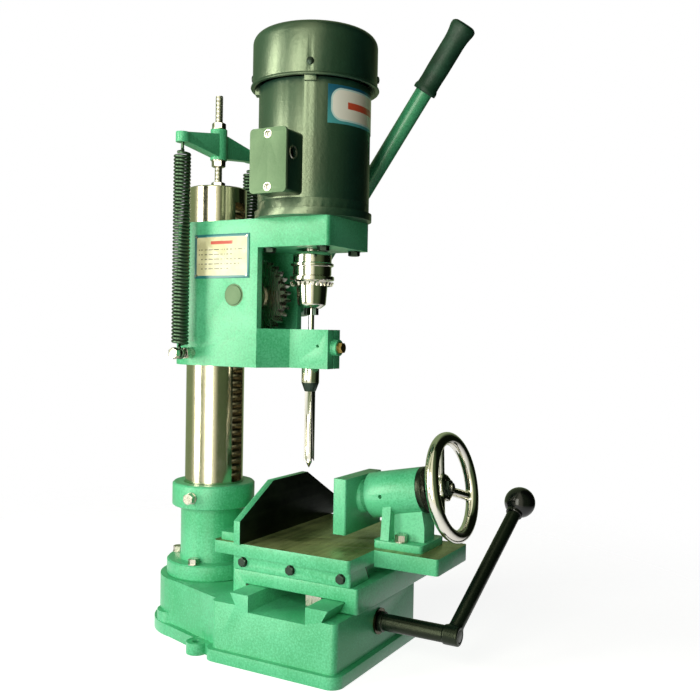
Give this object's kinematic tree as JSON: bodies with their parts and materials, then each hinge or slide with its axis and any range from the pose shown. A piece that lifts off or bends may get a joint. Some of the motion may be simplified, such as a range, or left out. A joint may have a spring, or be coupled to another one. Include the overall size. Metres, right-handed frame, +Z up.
{
  "type": "benchtop mortiser",
  "caption": "Benchtop hollow-chisel mortiser: sprung motor head on a round column, lever feed, cross-slide table with fence and screw clamp.",
  "frame": {"origin": "point where the column's axis meets the bench", "axes": "+Z up along the column; -Y towards the operator; +X to the operator's right, along the table's traverse"},
  "size_m": [0.2825, 0.4666, 0.7839],
  "materials": {
    "green_paint": "satin",
    "table_iron": "machined",
    "bright_steel": "satin",
    "polished_steel": "polished",
    "black_oxide": "satin",
    "motor_paint": "gloss",
    "black_enamel": "gloss",
    "black_plastic": "gloss",
    "grip_rubber": "matt",
    "bronze": "satin",
    "plate_print": "satin",
    "label_film": "satin",
    "cover_grey": "satin",
    "core_iron": "satin",
    "zinc_steel": "satin"
  },
  "bodies": {
    "frame": {"base_casting": "green_paint", "column_socket": "green_paint", "socket_bolts": "bright_steel", "socket_lock_bolt": "bright_steel", "column": "polished_steel", "column_rack": "bright_steel", "yoke_stud": "bright_steel", "yoke_nuts": "bright_steel", "spring_yoke": "green_paint", "return_spring_left": "black_oxide", "return_spring_right": "black_oxide", "crank_bushes": "bronze"},
    "crank": {"crank_shaft": "black_enamel", "crank_pinion": "bright_steel", "crank_arm": "black_enamel", "crank_knob": "black_plastic"},
    "saddle": {"saddle": "green_paint", "table_rack": "bright_steel", "saddle_gib": "bright_steel"},
    "table": {"table_top": "table_iron", "table_gib": "bright_steel", "table_gib_screws": "black_oxide", "fence": "green_paint", "fence_bolts": "bright_steel", "vise_bracket": "green_paint", "bracket_bolts": "bright_steel", "vise_end_cap": "black_enamel"},
    "vise_jaw": {"vise_quill": "green_paint", "vise_jaw": "green_paint", "jaw_screw": "black_oxide"},
    "handwheel": {"vise_screw": "bright_steel", "handwheel": "polished_steel", "handwheel_nut": "black_enamel"},
    "head": {"head_casting": "green_paint", "spring_anchors": "bright_steel", "name_plate": "plate_print", "feed_bushes": "bronze", "mortise_chisel": "polished_steel", "chisel_clamp_bolt": "zinc_steel", "motor_end_bell": "motor_paint", "motor_frame": "motor_paint", "motor_cowl": "motor_paint", "cowl_screws": "bright_steel", "terminal_box": "motor_paint", "terminal_cover": "cover_grey", "terminal_screws": "bright_steel", "motor_label": "label_film", "motor_bolts": "bright_steel", "stator_core": "core_iron"},
    "spindle": {"rotor_shaft": "bright_steel", "cooling_fan": "black_plastic", "chuck_body": "polished_steel", "chuck_sleeve": "bright_steel", "chuck_jaws": "bright_steel", "auger_bit": "bright_steel"},
    "feed": {"feed_shaft": "bright_steel", "feed_pinion": "bright_steel", "feed_lever": "green_paint", "lever_grip": "grip_rubber"}
  },
  "joints": [
    {"name": "head_slide", "type": "slide", "parent": "frame", "child": "head", "axis": [0, 0, -1], "range_m": [0, 0.045], "stiffness_N_per_m": 3000, "springref_m": -0.14, "deforming": ["return_spring_left", "return_spring_right"]},
    {"name": "spindle_spin", "type": "hinge", "parent": "head", "child": "spindle", "pos_m": [0, -0.148, 0.5], "axis": [0, 0, 1], "continuous": true},
    {"name": "feed_turn", "type": "hinge", "parent": "head", "child": "feed", "pos_m": [0, -0.066, 0.434], "axis": [1, 0, 0], "range_deg": [0, 57.4]},
    {"name": "saddle_slide", "type": "slide", "parent": "frame", "child": "saddle", "axis": [1, 0, 0], "range_m": [-0.065, 0.02]},
    {"name": "crank_turn", "type": "hinge", "parent": "frame", "child": "crank", "pos_m": [0, -0.2, 0.0457], "axis": [0, 1, 0], "range_deg": [-143.3, 44.1]},
    {"name": "table_cross", "type": "slide", "parent": "saddle", "child": "table", "axis": [0, -1, 0], "range_m": [-0.01, 0.003]},
    {"name": "vise_jaw_slide", "type": "slide", "parent": "table", "child": "vise_jaw", "axis": [0, 0.9816, -0.1908], "range_m": [-0.005, 0.026]},
    {"name": "handwheel_turn", "type": "hinge", "parent": "table", "child": "handwheel", "pos_m": [0.033, -0.328, 0.2095], "axis": [0, 0.9816, -0.1908], "range_deg": [-360, 1872]}
  ],
  "couplings": [
    {"joint": "feed_turn", "follows": "head_slide", "rad_per_m": 22.222},
    {"joint": "crank_turn", "follows": "saddle_slide", "rad_per_m": 38.462},
    {"joint": "vise_jaw_slide", "follows": "handwheel_turn", "m_per_rad": 0.00079577}
  ]
}
